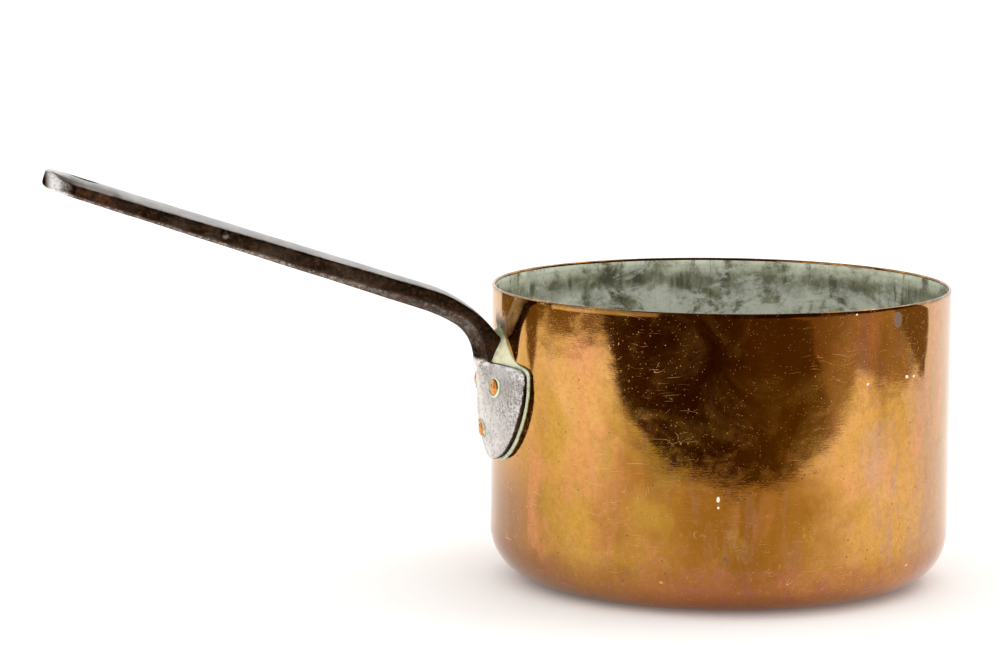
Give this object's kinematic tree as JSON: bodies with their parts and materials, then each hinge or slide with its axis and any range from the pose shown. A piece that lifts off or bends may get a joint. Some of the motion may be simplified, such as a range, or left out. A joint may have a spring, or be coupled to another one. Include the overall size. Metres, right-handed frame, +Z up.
{
  "type": "copper saucepan",
  "caption": "Deep round copper saucepan with a tinned inside and a long riveted iron handle that rises to a hanging eye.",
  "frame": {"origin": "centre of the underside of the flat base, on the pan's axis", "axes": "+Z up along the pan's axis, handle along -X, Y across the handle"},
  "size_m": [0.3977, 0.2, 0.185],
  "materials": {
    "copper": "polished copper, tarnished gold-brown",
    "tin": "dull oxidised tin with green verdigris",
    "iron": "worn satin forged iron with dark pits",
    "copper_rivet": "polished copper"
  },
  "bodies": {
    "root": {"pan_body": "copper", "tin_lining": "tin", "handle": "iron", "rivet_upper_left": "copper_rivet", "rivet_upper_right": "copper_rivet", "rivet_lower": "copper_rivet"}
  },
  "joints": []
}
